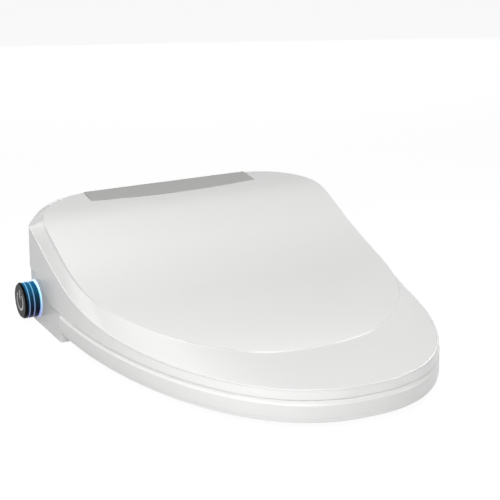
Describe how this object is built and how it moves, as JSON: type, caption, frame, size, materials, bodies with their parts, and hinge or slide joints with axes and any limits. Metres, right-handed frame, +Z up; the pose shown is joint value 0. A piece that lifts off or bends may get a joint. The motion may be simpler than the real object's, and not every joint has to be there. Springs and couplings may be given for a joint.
{
  "type": "electric bidet seat",
  "caption": "Electric bidet seat with a hinged lid and heated ring, sliding wash nozzles, warm air dryer and a lit side control knob.",
  "frame": {"origin": "middle of the two bowl bolts, on the plane of the bowl's rim", "axes": "+Z up, -Y to the front of the bowl, +X to the sitter's left"},
  "size_m": [0.4053, 0.5196, 0.1387],
  "materials": {
    "lid_plastic": "gloss",
    "seat_plastic": "gloss",
    "base_plastic": "gloss",
    "satin_strip": "satin",
    "rubber_pad": "matte",
    "inner_plastic": "matte",
    "steel": "brushed",
    "nozzle_steel": "polished",
    "brass": "machined",
    "board": "solder mask",
    "knob_black": "gloss",
    "light_ring": "glowing",
    "smoked": "gloss",
    "foil": "foil",
    "light_lens": "frosted"
  },
  "bodies": {
    "base": {"base_top_shell": "base_plastic", "base_tray": "base_plastic", "deck_strip": "satin_strip", "dryer_grille": "base_plastic", "ir_window": "smoked", "night_light": "light_lens", "nozzle_cradle": "inner_plastic", "blower_housing": "inner_plastic", "dryer_duct": "inner_plastic", "fan_frame": "inner_plastic", "hinge_pin_right": "steel", "hinge_pin_left": "steel", "drive_motor_right": "steel", "drive_motor_left": "steel", "mounting_plate": "inner_plastic", "knob_halo": "light_ring", "knob_encoder": "inner_plastic", "water_inlet": "brass", "inlet_filter": "inner_plastic", "solenoid_valve": "inner_plastic", "valve_hose": "rubber_pad", "heater_tank": "inner_plastic", "pump": "steel", "main_board": "board", "power_board": "board", "cable_gland": "inner_plastic"},
    "seat": {"seat_top_shell": "seat_plastic", "seat_bottom_shell": "seat_plastic", "seat_heater_foil": "foil", "seat_bumpers": "rubber_pad", "occupancy_sensor": "inner_plastic"},
    "lid": {"lid_shell": "lid_plastic", "lid_bumpers": "rubber_pad"},
    "knob_plunger": {"knob_shaft": "steel"},
    "knob": {"knob": "knob_black"},
    "rear_nozzle": {"rear_nozzle": "nozzle_steel"},
    "front_nozzle": {"front_nozzle": "nozzle_steel"},
    "left_pinion": {"drive_pinion_left": "inner_plastic"},
    "right_pinion": {"drive_pinion_right": "inner_plastic"},
    "blower_wheel": {"blower_wheel": "inner_plastic"},
    "deodoriser_fan": {"deodoriser_fan": "inner_plastic"},
    "cartridge": {"deodoriser_cartridge": "base_plastic"},
    "release_button": {"release_button": "base_plastic"}
  },
  "joints": [
    {"name": "seat_hinge", "type": "hinge", "parent": "base", "child": "seat", "pos_m": [0, -0.003, 0.119], "axis": [-1, 0, 0], "range_deg": [0, 95]},
    {"name": "lid_hinge", "type": "hinge", "parent": "seat", "child": "lid", "pos_m": [0, -0.003, 0.119], "axis": [1, 0, 0], "range_deg": [-96, 0]},
    {"name": "knob_press", "type": "slide", "parent": "base", "child": "knob_plunger", "axis": [1, 0, 0], "range_m": [0, 0.0015], "stiffness_N_per_m": 1500, "springref_m": -0.001},
    {"name": "knob_turn", "type": "hinge", "parent": "knob_plunger", "child": "knob", "pos_m": [-0.2, 0, 0.029], "axis": [-1, 0, 0], "continuous": true},
    {"name": "rear_nozzle_slide", "type": "slide", "parent": "base", "child": "rear_nozzle", "axis": [0, -0.8829, -0.4695], "range_m": [0, 0.074]},
    {"name": "front_nozzle_slide", "type": "slide", "parent": "base", "child": "front_nozzle", "axis": [0, -0.8829, -0.4695], "range_m": [0, 0.074]},
    {"name": "left_pinion_turn", "type": "hinge", "parent": "base", "child": "left_pinion", "pos_m": [-0.0135, -0.01096, 0.05941], "axis": [1, 0, 0], "range_deg": [-700, 700]},
    {"name": "right_pinion_turn", "type": "hinge", "parent": "base", "child": "right_pinion", "pos_m": [0.0135, -0.01096, 0.05941], "axis": [1, 0, 0], "range_deg": [-700, 700]},
    {"name": "blower_spin", "type": "hinge", "parent": "base", "child": "blower_wheel", "pos_m": [0.07, 0.012, 0.02], "axis": [0, 0, 1], "continuous": true},
    {"name": "fan_spin", "type": "hinge", "parent": "base", "child": "deodoriser_fan", "pos_m": [0.136, -0.045, 0.0226], "axis": [1, 0, 0], "continuous": true},
    {"name": "cartridge_slide", "type": "slide", "parent": "base", "child": "cartridge", "axis": [1, 0, 0], "range_m": [0, 0.045]},
    {"name": "release_press", "type": "slide", "parent": "base", "child": "release_button", "axis": [-1, 0, 0], "range_m": [0, 0.003], "stiffness_N_per_m": 1500, "springref_m": -0.001}
  ],
  "couplings": [
    {"joint": "left_pinion_turn", "follows": "rear_nozzle_slide", "rad_per_m": -142.86},
    {"joint": "right_pinion_turn", "follows": "front_nozzle_slide", "rad_per_m": -142.86}
  ]
}
